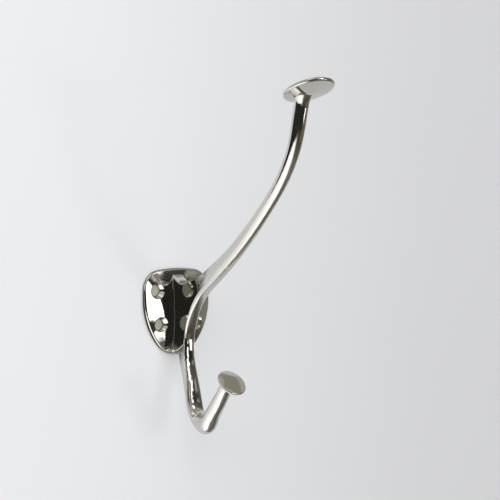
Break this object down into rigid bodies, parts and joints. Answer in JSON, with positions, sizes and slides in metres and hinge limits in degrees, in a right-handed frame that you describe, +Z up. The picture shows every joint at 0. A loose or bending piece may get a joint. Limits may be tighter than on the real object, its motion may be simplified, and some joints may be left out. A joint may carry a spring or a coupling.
{
  "type": "wall hook",
  "caption": "Cast wall hook: a shield-shaped screw plate with a web, a long upper arm that ends in a tilted hat disc, and a short upturned lower hook with a round knob.",
  "frame": {"origin": "centre of the wall plate's flat back face, on the wall's surface and on the plane of symmetry", "axes": "+X to the right for someone facing the wall, +Y into the wall, +Z up; the hook stands out towards -Y and is symmetric about X = 0"},
  "size_m": [0.0374, 0.0989, 0.1539],
  "materials": {
    "polished_nickel": "polished"
  },
  "bodies": {
    "root": {"hook_casting": "polished_nickel"}
  },
  "joints": []
}
